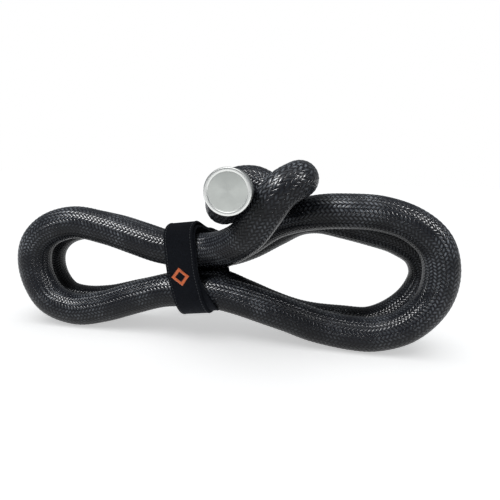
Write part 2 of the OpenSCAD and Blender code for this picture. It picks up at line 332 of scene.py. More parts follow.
def evenly(points, step):
    """The line again with equal steps of about that length, and each point's distance along it."""
    along = np.concatenate([[0], np.cumsum(np.linalg.norm(np.diff(points, axis=0), axis=1))])
    at = np.linspace(0, along[-1], round(along[-1] / step) + 1)
    return np.stack([np.interp(at, along, points[:, k]) for k in range(3)], axis=1), at


def carried_frames(line):
    """Tangent, normal and binormal at each point, the normal carried along without twist."""
    tangents = np.gradient(line, axis=0)
    tangents /= np.linalg.norm(tangents, axis=1)[:, None]
    normals = np.empty_like(line)
    normal = START_NORMAL
    for i, t in enumerate(tangents):
        normal = normal - (normal @ t) * t
        normal = normal / np.linalg.norm(normal)
        normals[i] = normal
    return tangents, normals, np.cross(tangents, normals)


def rings_along(line, radii, sides, offset=0.0, turn=0.0):
    """Rings of points round a line: radii holds one radius, or one row of radii, for each point."""
    _, normals, binormals = carried_frames(line)
    centre = line + offset * (math.cos(turn) * normals + math.sin(turn) * binormals)
    angle = np.arange(sides) * 2 * math.pi / sides
    radii = np.broadcast_to(np.reshape(radii, (len(line), -1)), (len(line), sides))
    across = (np.cos(angle)[None, :, None] * normals[:, None]
              + np.sin(angle)[None, :, None] * binormals[:, None])
    return centre[:, None] + radii[..., None] * across


def wall_faces(rows, sides, first=0, outward=True):
    """Quads between rows of rings."""
    r, k = np.meshgrid(np.arange(rows - 1), np.arange(sides), indexing="ij")
    a = first + r * sides + k
    b = first + r * sides + (k + 1) % sides
    quads = np.stack([a, b, b + sides, a + sides], axis=-1).reshape(-1, 4)
    return quads if outward else quads[:, ::-1]


# ---------------------------------------------------------------- meshes


def mesh_piece(name, points, faces, material, uv=None, smooth=True):
    """A new object with that mesh, its material and, where given, one UV pair for each face corner."""
    mesh = bpy.data.meshes.new(name)
    mesh.from_pydata(np.asarray(points, float).reshape(-1, 3).tolist(), [], [list(f) for f in faces])
    mesh.validate()
    mesh.polygons.foreach_set("use_smooth", [smooth] * len(mesh.polygons))
    if uv is not None:
        layer = mesh.uv_layers.new(name="UVMap")
        layer.data.foreach_set("uv", np.asarray(uv, np.float32).ravel())
    mesh.materials.append(material)
    mesh.update()
    piece = bpy.data.objects.new(name, mesh)
    bpy.context.scene.collection.objects.link(piece)
    return piece


def outward(piece, sharp=math.radians(40)):
    """Turn every face of a closed piece outwards and keep its sharp edges sharp."""
    mesh = piece.data
    work = bmesh.new()
    work.from_mesh(mesh)
    bmesh.ops.recalc_face_normals(work, faces=work.faces)
    work.to_mesh(mesh)
    work.free()
    mesh.set_sharp_from_angle(angle=sharp)
    return piece


def filleted(corners, steps=6):
    """A profile with its corners eased: each corner is (radius, height, length eased off each side)."""
    points = []
    for i, (radius, height, ease) in enumerate(corners):
        here = np.array([radius, height])
        if not ease:
            points.append(here)
            continue
        sides = [np.array(corners[(i + step) % len(corners)][:2]) - here for step in (-1, 1)]
        start, end = [here + side / np.linalg.norm(side) * ease for side in sides]
        for t in np.linspace(0, 1, steps):
            points.append((1 - t) ** 2 * start + 2 * t * (1 - t) * here + t * t * end)
    return np.array(points)


def lathed(name, corners, material, way, sides=160, cut=None):
    """A turned piece in an end's frame. Its profile closes on itself unless it starts on the axis."""
    profile = filleted(corners)
    closed = profile[0, 0] > 0
    angle = np.arange(sides) * 2 * math.pi / sides
    rings, starts, count = [], [], 0
    for radius, height in profile:
        turn = angle if radius > 0 else angle[:1]
        r = radius + (cut(radius, height, turn) if cut else 0.0) + 0 * turn
        rings.append(np.stack([r * np.cos(turn), r * np.sin(turn), np.full(len(turn), height)], axis=-1))
        starts.append(count)
        count += len(turn)
    ends = np.vstack([profile[1:], profile[:1]])
    v = np.concatenate([[0], np.cumsum(np.linalg.norm(ends - profile, axis=1))])
    faces, uv = [], []
    for i in range(len(profile) if closed else len(profile) - 1):
        j = (i + 1) % len(profile)
        for k in range(sides):
            n = (k + 1) % sides
            left, right = k / sides, (k + 1) / sides
            if len(rings[i]) == 1:
                faces.append((starts[i], starts[j] + n, starts[j] + k))
                uv += [((left + right) / 2, v[i]), (right, v[i + 1]), (left, v[i + 1])]
            elif len(rings[j]) == 1:
                faces.append((starts[i] + k, starts[i] + n, starts[j]))
                uv += [(left, v[i]), (right, v[i]), ((left + right) / 2, v[i + 1])]
            else:
                faces.append((starts[i] + k, starts[i] + n, starts[j] + n, starts[j] + k))
                uv += [(left, v[i]), (right, v[i]), (right, v[i + 1]), (left, v[i + 1])]
    points = np.vstack(rings) @ np.array(way.to_3x3()).T + np.array(way.translation)
    return outward(mesh_piece(name, points, faces, material, uv=uv))


def threads(name, runs, radius, material, sides=6):
    """One mesh of many short threads, each a row of points and thinner at its ends."""
    runs = np.asarray(runs)
    count, rows = runs.shape[:2]
    tangents = np.gradient(runs, axis=1)
    tangents /= np.linalg.norm(tangents, axis=2)[..., None]
    normals = np.cross(tangents, np.array([0.31, 0.22, 0.925]))
    normals /= np.linalg.norm(normals, axis=2)[..., None]
    binormals = np.cross(tangents, normals)
    angle = np.arange(sides) * 2 * math.pi / sides
    across = (np.cos(angle)[:, None] * normals[:, :, None] + np.sin(angle)[:, None] * binormals[:, :, None])
    taper = radius * (0.35 + 0.65 * np.sin(math.pi * np.linspace(0, 1, rows)) ** 0.5)
    points = runs[:, :, None] + taper[None, :, None, None] * across
    one = [*wall_faces(rows, sides).tolist(), tuple(range(sides))[::-1],
           tuple((rows - 1) * sides + j for j in range(sides))]
    faces = [[index + i * rows * sides for index in face] for i in range(count) for face in one]
    return outward(mesh_piece(name, points, faces, material), sharp=math.radians(80))


# ---------------------------------------------------------------- materials


class Shading:
    """One material's node tree, built a node at a time."""

    def __init__(self, name, **values):
        self.material = bpy.data.materials.new(name)
        self.material.use_nodes = True
        self.tree = self.material.node_tree
        self.shader = self.tree.nodes["Principled BSDF"]
        self.set(**values)

    def set(self, **values):
        for key, value in values.items():
            self.shader.inputs[key.replace("_", " ")].default_value = value

    def feed(self, socket, target):
        if isinstance(socket, bpy.types.NodeSocket):
            self.tree.links.new(socket, target)
        else:
            target.default_value = socket

    def node(self, kind, inputs=(), **settings):
        made = self.tree.nodes.new(kind)
        for key, value in settings.items():
            setattr(made, key, value)
        for key, value in dict(inputs).items():
            self.feed(value, made.inputs[key])
        return made

    def math(self, operation, *values):
        made = self.node("ShaderNodeMath", operation=operation)
        for socket, value in zip(made.inputs, values):
            self.feed(value, socket)
        return made.outputs[0]

    def choose(self, share, low, high):
        made = self.node("ShaderNodeMix", data_type="FLOAT", inputs={0: share, 2: low, 3: high})
        return made.outputs[0]

    def tint(self, share, low, high):
        made = self.node("ShaderNodeMix", data_type="RGBA")
        self.feed(share, made.inputs[0])
        for socket, value in ((made.inputs[6], low), (made.inputs[7], high)):
            self.feed(value if isinstance(value, bpy.types.NodeSocket) else (*value, 1.0), socket)
        return made.outputs[2]

    def noise(self, where, scale, detail=3.0):
        made = self.node("ShaderNodeTexNoise", inputs={"Vector": where, "Scale": scale, "Detail": detail})
        return made.outputs[0]

    def place(self):
        return self.node("ShaderNodeTexCoord").outputs["Object"]

    def ramp(self, value, low, high):
        made = self.node("ShaderNodeMapRange", inputs={0: value, 1: low, 2: high}, clamp=True)
        return made.outputs[0]

    def colour(self, socket):
        self.tree.links.new(socket, self.shader.inputs["Base Color"])

    def rough(self, socket):
        self.tree.links.new(socket, self.shader.inputs["Roughness"])

    def bump(self, height, depth, below=None):
        made = self.node("ShaderNodeBump", inputs={"Strength": 1.0, "Distance": depth, "Height": height})
        if below is not None:
            self.tree.links.new(below, made.inputs["Normal"])
        self.tree.links.new(made.outputs[0], self.shader.inputs["Normal"])
        return made.outputs[0]


def braid_material(cord):
    """Two sets of yarns at 45 degrees, each over two and under two."""
    s = Shading("braided_yarn", Specular_IOR_Level=0.2, Sheen_Weight=0.01, Sheen_Roughness=0.35,
                Sheen_Tint=(0.75, 0.8, 0.85, 1.0))
    yarn_counts = s.node("ShaderNodeUVMap", uv_map="UVMap").outputs[0]
    lattice = s.node("ShaderNodeSeparateXYZ", inputs={0: yarn_counts})
    u, v = lattice.outputs[0], lattice.outputs[1]
    p, q = s.math("ADD", u, v), s.math("SUBTRACT", u, v)
    across_p, across_q = s.math("FRACT", p), s.math("FRACT", q)
    cell = s.math("FLOORED_MODULO", s.math("ADD", s.math("FLOOR", p), s.math("FLOOR", q)), 4.0)
    p_under = s.math("GREATER_THAN", cell, 1.5)

    def crown(t):
        centred = s.math("MULTIPLY_ADD", t, 2.0, -1.0)
        return s.math("SUBTRACT", 1.0, s.math("MULTIPLY", centred, centred))

    def yarn(across, along):
        arch = s.math("MULTIPLY_ADD", crown(along), 0.55, 0.45)
        return s.math("MULTIPLY", s.math("SQRT", crown(across)), arch)

    along_p = s.math("MULTIPLY", s.math("ADD", cell, across_q), 0.5)
    along_q = s.math("MULTIPLY", s.math("ADD", s.math("SUBTRACT", cell, 2.0), across_p), 0.5)
    height = s.choose(p_under, yarn(across_p, along_p), yarn(across_q, along_q))
    across = s.choose(p_under, across_p, across_q)
    filament = s.math("SINE", s.math("MULTIPLY", across, 2 * math.pi * 5))
    where = s.place()
    fuzz = s.noise(where, 2600.0, 2.0)
    surface = s.math("ADD", height, s.math("MULTIPLY", filament, 0.02))
    surface = s.math("ADD", surface, s.math("MULTIPLY", fuzz, 0.04))
    s.bump(surface, 0.36 * MM)

    yarn_key = s.node("ShaderNodeCombineXYZ", inputs={
        0: s.choose(p_under, s.math("FLOOR", p), s.math("FLOOR", q)), 1: p_under})
    varied = s.node("ShaderNodeTexWhiteNoise", noise_dimensions="3D",
                    inputs={"Vector": yarn_key.outputs[0]}).outputs[0]
    # The crests turn lighter where the noise marks them rubbed: partly wear, partly painted light on the tops
    # of the yarns.
    rubbed = s.ramp(s.noise(where, 45.0, 4.0), 0.42, 0.72)
    crest = s.ramp(height, 0.62, 0.98)
    wear_and_crest_light = s.math("MULTIPLY", s.math("MULTIPLY", crest, rubbed), s.math("MULTIPLY_ADD", varied, 0.6, 0.4))
    yarn_colour = s.tint(wear_and_crest_light, cord.strand_colour, cord.worn_and_crest_light_colour)
    # Near black down between the yarns: painted shade in the gaps.
    gap = s.ramp(height, 0.45, 0.92)
    s.colour(s.tint(gap, (0.002, 0.002, 0.003), yarn_colour))
    s.rough(s.math("MULTIPLY_ADD", varied, 0.08, s.math("MULTIPLY_ADD", rubbed, 0.05, 0.20)))
    return s.material


def moulded_material(name, colour, roughness, grain=900.0):
    """Moulded rubber or plastic with a fine grain."""
    s = Shading(name, Specular_IOR_Level=0.45)
    where = s.place()
    fine = s.noise(where, grain, 3.0)
    blotch = s.noise(where, 40.0, 2.0)
    s.bump(fine, 0.05 * MM)
    lighter = [min(1.0, c * 1.25 + 0.004) for c in colour]
    s.colour(s.tint(s.ramp(blotch, 0.3, 0.7), colour, lighter))
    s.rough(s.math("MULTIPLY_ADD", fine, 0.15, roughness))
    return s.material


def turned_metal(name, colour, roughness, polish_and_painted_highlight=None):
    """Metal with the fine rings that turning leaves; its UV runs round and then along the profile in metres.

    The smoother, lighter stretch, where there is one, lies between two distances along the profile; its
    lighter colour is a painted highlight.
    """
    s = Shading(name, Metallic=1.0, Anisotropic=0.6)
    round_and_out = s.node("ShaderNodeUVMap", uv_map="UVMap").outputs[0]
    split = s.node("ShaderNodeSeparateXYZ", inputs={0: round_and_out})
    ring_only = s.node("ShaderNodeCombineXYZ", inputs={0: split.outputs[1]}).outputs[0]
    rings = s.noise(ring_only, 5200.0, 4.0)
    smears = s.noise(s.place(), 160.0, 3.0)
    s.bump(rings, 0.006 * MM)
    satin = s.tint(s.ramp(smears, 0.25, 0.75), [c * 0.9 for c in colour], colour)
    dull = s.math("MULTIPLY_ADD", rings, 0.10, s.math("MULTIPLY_ADD", smears, 0.08, roughness))
    # The stretch is smoother, and its lighter colour is a painted highlight.
    if polish_and_painted_highlight:
        start, end = polish_and_painted_highlight
        out = split.outputs[1]
        share = s.math("SUBTRACT", s.ramp(out, start - 0.4 * MM, start), s.ramp(out, end, end + 0.4 * MM))
        satin = s.tint(share, satin, (0.86, 0.87, 0.85))
        dull = s.choose(share, dull, s.math("MULTIPLY_ADD", smears, 0.06, 0.33))
    s.colour(satin)
    s.rough(dull)
    tangent = s.node("ShaderNodeTangent", direction_type="UV_MAP", uv_map="UVMap")
    s.tree.links.new(tangent.outputs[0], s.shader.inputs["Tangent"])
    return s.material


def plated_metal(name, colour, roughness):
    """Plated metal without a turning direction."""
    s = Shading(name, Metallic=1.0)
    smears = s.noise(s.place(), 300.0, 4.0)
    s.bump(smears, 0.01 * MM)
    s.colour(s.tint(smears, [c * 0.85 for c in colour], colour))
    s.rough(s.math("MULTIPLY_ADD", smears, 0.15, roughness))
    return s.material


def fabric_material(name, colour, pile=1500.0, depth=0.35 * MM):
    """Brushed strap fabric: a short pile over a soft, uneven ground."""
    s = Shading(name, Specular_IOR_Level=0.12, Sheen_Weight=0.05, Sheen_Roughness=0.45,
                Sheen_Tint=(0.5, 0.58, 0.7, 1.0))
    where = s.place()
    fibres = s.noise(where, pile, 4.0)
    tufts = s.node("ShaderNodeTexVoronoi", inputs={"Vector": where, "Scale": pile * 0.55}).outputs[0]
    creases = s.noise(where, 70.0, 3.0)
    pile_height = s.math("ADD", fibres, s.math("MULTIPLY", tufts, 0.5))
    soft = s.bump(creases, 1.2 * MM)
    s.bump(pile_height, depth, below=soft)
    lighter = [min(1.0, c * 2.6 + 0.002) for c in colour]
    s.colour(s.tint(s.ramp(fibres, 0.35, 0.75), [c * 0.55 for c in colour], lighter))
    s.rough(s.math("MULTIPLY_ADD", creases, 0.2, 0.72))
    return s.material


def thread_material(name, colour, sheen=0.3):
    """Twisted sewing thread."""
    s = Shading(name, Specular_IOR_Level=0.4, Sheen_Weight=sheen, Roughness=0.45)
    where = s.place()
    twist = s.node("ShaderNodeTexWave", bands_direction="DIAGONAL",
                   inputs={"Vector": where, "Scale": 900.0, "Distortion": 1.5}).outputs[1]
    s.bump(twist, 0.08 * MM)
    s.colour(s.tint(twist, [c * 0.7 for c in colour], colour))
    return s.material


# ---------------------------------------------------------------- camera, stage and light


class CORDHANK_OT_camera(bpy.types.Operator):
    """Stand the camera in front of the hank, a little above it"""

    bl_idname = "cordhank.camera"
    bl_label = "Camera"

    def execute(self, context):
        stage = context.scene.cordhank_stage
        forward = Vector((-math.sin(stage.yaw) * math.cos(stage.pitch),
                          math.cos(stage.yaw) * math.cos(stage.pitch), -math.sin(stage.pitch)))
        level = Vector((math.cos(stage.yaw), math.sin(stage.yaw), 0))
        upright = level.cross(forward)
        right = level * math.cos(stage.roll) + upright * math.sin(stage.roll)
        up = upright * math.cos(stage.roll) - level * math.sin(stage.roll)
        data = bpy.data.cameras.new("camera")
        data.angle = stage.view_angle
        data.clip_start, data.clip_end = 0.01, 60
        camera = bpy.data.objects.new("camera", data)
        turn = Matrix((right, up, -forward)).transposed().to_4x4()
        camera.matrix_world = Matrix.Translation(Vector(stage.aim) - forward * stage.distance) @ turn
        context.scene.collection.objects.link(camera)
        context.scene.camera = camera
        return {"FINISHED"}


class CORDHANK_OT_stage(bpy.types.Operator):
    """Lay a plain pale floor and light it softly"""

    bl_idname = "cordhank.stage"
    bl_label = "Floor and light"

    def execute(self, context):
        stage = context.scene.cordhank_stage
        half = 20.0
        corners = [(-half, -half, 0), (half, -half, 0), (half, half, 0), (-half, half, 0)]
        s = Shading("floor_paper", Roughness=0.75, Specular_IOR_Level=0.2, Emission_Strength=stage.glow)
        s.set(Emission_Color=(1.0, 1.0, 1.0, 1.0))
        s.colour(s.tint(s.noise(s.place(), 6.0), [c * 0.99 for c in stage.floor_colour], stage.floor_colour))
        floor = mesh_piece("floor", corners, [(0, 1, 2, 3)], s.material, smooth=False)
        self.sky(context.scene, stage)
        self.lamp("overhead", "SUN", stage.overhead, (0, -0.5, 2), (0, 0, 0), angle=math.radians(60))
        on_braid = self.only("on_braid", bpy.data.objects["braided_sleeve_woven"])
        for name, energy, place, target, size in (
                ("key", stage.key, (-0.35, -0.46, 0.82), (0.02, -0.02, 0.1), 0.24),
                ("side", stage.side, (0.85, -0.30, 0.75), (0.05, 0, 0.06), 0.2)):
            lamp = self.lamp(name, "AREA", energy, place, target, size=size)
            lamp.light_linking.receiver_collection = on_braid
        context.scene.view_settings.view_transform = "Standard"
        return {"FINISHED"}

    def sky(self, scene, stage):
        world = bpy.data.worlds.new("studio")
        world.use_nodes = True
        tree = world.node_tree
        light = tree.nodes["Background"]
        light.inputs["Color"].default_value = (0.93, 0.97, 1.0, 1.0)
        light.inputs["Strength"].default_value = stage.sky
        seen = tree.nodes.new("ShaderNodeBackground")
        seen.inputs["Color"].default_value = (1.0, 1.0, 1.0, 1.0)
        seen.inputs["Strength"].default_value = 1.0
        ray = tree.nodes.new("ShaderNodeLightPath")
        mix = tree.nodes.new("ShaderNodeMixShader")
        tree.links.new(ray.outputs["Is Camera Ray"], mix.inputs[0])
        tree.links.new(light.outputs[0], mix.inputs[1])
        tree.links.new(seen.outputs[0], mix.inputs[2])
        tree.links.new(mix.outputs[0], tree.nodes["World Output"].inputs["Surface"])
        scene.world = world

    def only(self, name, *pieces):
        """A collection of the pieces that a lamp is kept to."""
        chosen = bpy.data.collections.new(name)
        for piece in pieces:
            chosen.objects.link(piece)
        return chosen

    def lamp(self, name, kind, energy, place, target, size=None, angle=None):
        data = bpy.data.lights.new(name, kind)
        data.energy = energy
        if size is not None:
            data.shape, data.size = "DISK", size
        if angle is not None:
            data.angle = angle
        lamp = bpy.data.objects.new(name, data)
        lamp.location = place
        lamp.rotation_mode = "QUATERNION"
        lamp.rotation_quaternion = (Vector(target) - Vector(place)).to_track_quat("-Z", "Y")
        bpy.context.scene.collection.objects.link(lamp)
        return lamp


# ---------------------------------------------------------------- the cord


def crimped(along, cord, length):
    """Radius of the sleeve at each distance along it: pinched under the crimp bands, full in between."""
    from_end = np.minimum(along, length - along)
    filled = eased((from_end - PINCH_END) / PINCH_EASE)
    return cord.crimped_radius + (cord.radius - cord.crimped_radius) * filled


class CORDHANK_OT_sleeve(bpy.types.Operator):
    """Braid the sleeve along the cord's whole route"""

    bl_idname = "cordhank.sleeve"
    bl_label = "Braided sleeve"

    def execute(self, context):
        cord = context.scene.cordhank_cord
        sides, half = 2 * cord.strands, cord.strands
        line, along = evenly(smooth_route(ROUTE), cord.pitch / 2)
        length = along[-1]
        rows = len(line)
        outer = rings_along(line, self.woven_radii(cord, along), sides).reshape(-1, 3)
        lining_rows = np.unique(np.append(np.arange(0, rows, 8), rows - 1))
        lining = self.lining(line, crimped(along, cord, length) - cord.wall * 0.95, lining_rows, half)
        lining_first = rows * sides
        lining_last = lining_first + (len(lining_rows) - 1) * half
        faces = [*wall_faces(rows, sides).tolist(),
                 *wall_faces(len(lining_rows), half, lining_first, outward=False).tolist(),
                 *self.end_ring(0, lining_first, half, False),
                 *self.end_ring((rows - 1) * sides, lining_last, half, True)]
        sleeve = mesh_piece("braided_sleeve_woven", np.vstack([outer, lining]), faces, braid_material(cord),
                            uv=self.lattice(cord, faces, rows, len(lining)))
        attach(sleeve, "cord")
        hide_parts("braided_sleeve")
        return {"FINISHED"}

    def woven_radii(self, cord, along):
        """Radius of every point of the weave: yarns over and under, on a tube of uneven thickness."""
        length = along[-1]
        k, m = np.meshgrid(np.arange(2 * cord.strands), np.arange(len(along)))
        crest = np.sin(math.pi * k / 2) * np.where((k + m) % 2, -1.0, 1.0)
        calm = np.clip(np.minimum(along, length - along) / WEAVE_EASE, 0, 1)
        uneven = 1 + 0.006 * np.sin(along * 61.0) + 0.005 * np.sin(along * 143.0 + 1.3)
        mean = crimped(along, cord, length) * np.where(calm < 1, 1.0, uneven)
        return mean[:, None] + cord.relief * crest * calm[:, None]

    def lining(self, line, radii, chosen, sides):
        """Points of the sleeve's smooth inside, at the chosen rows of the line."""
        _, normals, binormals = carried_frames(line)
        angle = np.arange(sides) * 2 * math.pi / sides
        across = (np.cos(angle)[None, :, None] * normals[chosen][:, None]
                  + np.sin(angle)[None, :, None] * binormals[chosen][:, None])
        return (line[chosen][:, None] + radii[chosen][:, None, None] * across).reshape(-1, 3)

    def end_ring(self, outer_first, lining_first, half, flip):
        """Faces that close one end, from the weave's points to half as many of the lining's."""
        faces = []
        for j in range(half):
            o = [outer_first + (2 * j + i) % (2 * half) for i in range(3)]
            a, b = lining_first + j, lining_first + (j + 1) % half
            for face in ((o[0], a, o[1]), (o[1], a, b), (o[1], b, o[2])):
                faces.append(face[::-1] if flip else face)
        return faces

    def lattice(self, cord, faces, rows, lining_count):
        """UV that counts yarns round and along the weave; faces across the seam run on past the last yarn."""
        sides = 2 * cord.strands
        k, m = np.meshgrid(np.arange(sides), np.arange(rows))
        woven = np.stack([k * 0.5 + 0.25, m * 0.5 + 0.25], axis=-1).reshape(-1, 2)
        uv = np.vstack([woven, np.zeros((lining_count, 2))])[np.concatenate([np.asarray(f) for f in faces])]
        corners = (rows - 1) * sides * 4
        walls = uv[:corners].reshape(-1, 4, 2)
        round_way = walls[:, :, 0]
        wrapped = (round_way.max(axis=1) - round_way.min(axis=1)) > 2
        over_seam = round_way[wrapped]
        round_way[wrapped] = np.where(over_seam < 1, over_seam + cord.strands, over_seam)
        uv[:corners] = walls.reshape(-1, 2)
        return uv


class CORDHANK_OT_core(bpy.types.Operator):
    """Run the jacket, the conductors and the strength cord inside the sleeve"""

    bl_idname = "cordhank.core"
    bl_label = "Core"

    def execute(self, context):
        cord = context.scene.cordhank_cord
        line, along = evenly(smooth_route(ROUTE), 5 * MM)
        from_end = np.minimum(along, along[-1] - along)
        inside = line[from_end >= JACKET_END]
        self.jacket(cord, inside)
        wires = line[from_end >= WIRE_END]
        looks = (("line_conductor", "line_core", 90, (0.02, 0.02, 0.02)),
                 ("neutral_conductor", "neutral_core", 210, (0.75, 0.75, 0.73)),
                 ("earth_conductor", "earth_core", 330, (0.02, 0.22, 0.05)))
        for node, slot, turn, colour in looks:
            self.rod(node, slot, wires, cord.conductor_radius, 16, colour,
                     offset=cord.conductor_ring, turn=math.radians(turn))
        self.rod("strength_cord", "strength_yarn", wires, cord.strength_radius, 10, (0.55, 0.45, 0.22))
        return {"FINISHED"}

    def jacket(self, cord, line):
        sides, rows = 32, len(line)
        outer = rings_along(line, np.full(rows, cord.jacket_radius), sides).reshape(-1, 3)
        inner = rings_along(line, np.full(rows, cord.jacket_radius - cord.jacket_wall), sides).reshape(-1, 3)
        first = rows * sides
        faces = [*wall_faces(rows, sides).tolist(), *wall_faces(rows, sides, first, outward=False).tolist()]
        end = (rows - 1) * sides
        for j in range(sides):
            n = (j + 1) % sides
            faces.append((j, first + j, first + n, n))
            faces.append((end + n, first + end + n, first + end + j, end + j))
        jacket = mesh_piece("core_jacket_moulded", np.vstack([outer, inner]), faces,
                            moulded_material("jacket_rubber", (0.018, 0.018, 0.018), 0.55))
        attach(jacket, "cord")
        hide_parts("core_jacket")

    def rod(self, node, slot, line, radius, sides, colour, offset=0.0, turn=0.0):
        rows = len(line)
        points = rings_along(line, np.full(rows, radius), sides, offset, turn).reshape(-1, 3)
        faces = [*wall_faces(rows, sides).tolist(), tuple(range(sides))[::-1],
                 tuple((rows - 1) * sides + j for j in range(sides))]
        rod = mesh_piece(node + "_drawn", points, faces, moulded_material(slot, colour, 0.4))
        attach(rod, "cord")
        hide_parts(node)


# ---------------------------------------------------------------- caps and connectors


def thread_cut(cap, wall, low, high, into):
    """Depth of a screw thread in the wall of that radius, cut inwards (-1) or outwards (+1)."""
    spacing = cap.thread_lead / cap.thread_starts

    def cut(radius, height, turn):
        reach = min(height - low, high - height) / spacing
        if reach <= 0 or abs(radius - wall) > 1e-6:
            return 0.0
        phase = 2 * math.pi * height / spacing - cap.thread_starts * turn
        return into * cap.thread_depth * min(1.0, 2 * reach) * (0.5 + 0.5 * np.cos(phase))

    return cut


def straight(radius, low, high, steps):
    """Profile points up or down a straight wall that a thread is cut in."""
    return [(radius, height, 0) for height in np.linspace(low, high, steps)]


class CORDHANK_OT_caps(bpy.types.Operator):
    """Turn the two caps, each with a rolled rim, smoother and painted lighter as a highlight, and a thread in
    its bore
    """

    bl_idname = "cordhank.caps"
    bl_label = "Caps"

    def execute(self, context):
        cap = context.scene.cordhank_cap
        back, rim_in = -cap.skirt, cap.radius - cap.rim
        # The rim's stretch is smoother, and painted lighter as a highlight.
        metal = turned_metal("cap_metal", cap.metal_colour, 0.42,
                             polish_and_painted_highlight=(rim_in - 0.3 * MM, rim_in + 5 * MM))
        thread_low, thread_high = -0.6 * MM, 7.2 * MM
        line_top, line_foot = cap.face - 4.2 * MM, cap.face - 5.4 * MM
        line_depth, line_slope = 0.35 * MM, 0.3 * MM
        corners = [
            (0, cap.face - cap.sink, 0),
            (rim_in - 0.9 * MM, cap.face - cap.sink, 0.2 * MM),
            (rim_in - 0.5 * MM, cap.face - cap.sink - 0.15 * MM, 0.15 * MM),
            (rim_in + 0.1 * MM, cap.face - 0.05 * MM, 0.3 * MM),
            (rim_in + 0.9 * MM, cap.face, 0.3 * MM),
            (cap.radius, cap.face, 1.6 * MM),
            (cap.radius, line_top, 0.15 * MM),
            (cap.radius - line_depth, line_top - line_slope, 0.15 * MM),
            (cap.radius - line_depth, line_foot + line_slope, 0.15 * MM),
            (cap.radius, line_foot, 0.15 * MM),
            (cap.radius, back, 0.5 * MM),
            (cap.bore, back, 0.3 * MM),
            *straight(cap.bore, thread_low, thread_high, 52),
            (cap.bore, cap.floor, 0.3 * MM),
            (0, cap.floor, 0),
        ]
        cut = thread_cut(cap, cap.bore, thread_low, thread_high, 1)
        for end, way in END_WAYS.items():
            piece = lathed(f"cap_{end}_turned", corners, metal, way, cut=cut)
            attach(piece, f"cap_{end}")
            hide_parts(f"cap_{end}")
        return {"FINISHED"}


class CORDHANK_OT_shells(bpy.types.Operator):
    """Turn the two connector shells, each with a thread and a groove for its seal"""

    bl_idname = "cordhank.shells"
    bl_label = "Shells"

    def execute(self, context):
        cap, cord = context.scene.cordhank_cap, context.scene.cordhank_cord
        metal = turned_metal("shell_metal", cap.shell_colour, 0.32)
        groove_low, groove_high, groove_depth = 6 * MM, 8 * MM, 2 * MM
        thread_low, thread_high = 0.4 * MM, 5.6 * MM
        corners = [
            (cap.shell_bore, -cap.spigot, 0.2 * MM),
            (cord.jacket_radius, -cap.spigot, 0.3 * MM),
            (cord.jacket_radius, 0, 0),
            (cap.shell_radius, 0, 0.15 * MM),
            *straight(cap.shell_radius, thread_low, thread_high, 36),
            (cap.shell_radius, groove_low, 0),
            (cap.shell_radius - groove_depth, groove_low, 0),
            (cap.shell_radius - groove_depth, groove_high, 0),
            (cap.shell_radius, groove_high, 0),
            (cap.shell_radius, cap.head, 0.6 * MM),
            (cap.shell_bore, cap.head, 0.4 * MM),
        ]
        cut = thread_cut(cap, cap.shell_radius, thread_low, thread_high, -1)
        for end, way in END_WAYS.items():
            piece = lathed(f"shell_{end}_turned", corners, metal, way, cut=cut)
            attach(piece, "cord")
            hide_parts(f"shell_{end}")
        return {"FINISHED"}


class CORDHANK_OT_crimp_bands(bpy.types.Operator):
    """Roll the crimp bands that hold the braid on the spigots"""

    bl_idname = "cordhank.crimp_bands"
    bl_label = "Crimp bands"

    def execute(self, context):
        cap, cord = context.scene.cordhank_cap, context.scene.cordhank_cord
        metal = turned_metal("crimp_metal", cap.crimp_colour, 0.36)
        inner, outer = cord.crimped_radius + 0.05 * MM, cap.shell_radius - 0.25 * MM
        low, high = -cap.skirt + 0.6 * MM, -0.6 * MM
        beads = 3
        heights = np.linspace(low + 0.5 * MM, high - 0.5 * MM, 12 * beads + 1)
        wave = 0.5 - 0.5 * np.cos(np.linspace(0, 2 * math.pi * beads, len(heights)))
        corners = [(inner, low, 0.15 * MM), (outer - 0.35 * MM, low, 0.2 * MM),
                   *((outer - 0.4 * MM * (1 - w), h, 0) for h, w in zip(heights, wave)),
                   (outer - 0.35 * MM, high, 0.2 * MM), (inner, high, 0.15 * MM)]
        for end, way in END_WAYS.items():
            piece = lathed(f"crimp_band_{end}_rolled", corners, metal, way)
            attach(piece, "cord")
            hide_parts(f"crimp_band_{end}")
        return {"FINISHED"}


class CORDHANK_OT_small_parts(bpy.types.Operator):
    """Finish the parts inside the caps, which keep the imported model's shapes"""

    bl_idname = "cordhank.small_parts"
    bl_label = "Small parts"

    def execute(self, context):
        finishes = {
            moulded_material("insert_plastic", (0.52, 0.46, 0.36), 0.42, grain=1500.0):
                ("contact_insert_a", "contact_insert_b"),
            plated_metal("contact_brass", (0.83, 0.62, 0.25), 0.22): ("contact_pins_a", "contact_sockets_b"),
            moulded_material("seal_rubber", (0.012, 0.012, 0.012), 0.5):
                ("seal_ring_a", "seal_ring_b", "cap_liner_a", "cap_liner_b"),
        }
        for material, nodes in finishes.items():
            for node in nodes:
                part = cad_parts[node]
                part.data.materials.clear()
                part.data.materials.append(material)
        return {"FINISHED"}


# ---------------------------------------------------------------- the strap


def outline_stations(step=1 * MM):
    """Stations once round the corner passes, from the front foot: each has a centre and an outward angle."""
    after = np.roll(CORNER_PASSES, -1, axis=0)
    sides = after - CORNER_PASSES
    turns = np.arctan2(sides[:, 1], sides[:, 0]) - math.pi / 2
    centres, angles = [], []
    for here, side, before, turn in zip(CORNER_PASSES, sides, np.roll(turns, 1), turns):
        sweep = (turn - before) % (2 * math.pi)
        steps = max(2, round(sweep * OVERLAP_INNER / step))
        for w in np.linspace(before, before + sweep, steps, endpoint=False):
            centres.append(here)
            angles.append(w)
        steps = max(1, round(np.linalg.norm(side) / step))
        for t in np.linspace(0, 1, steps, endpoint=False):
            centres.append(here + t * side)
            angles.append(turn)
    return np.array(centres), np.array(angles)


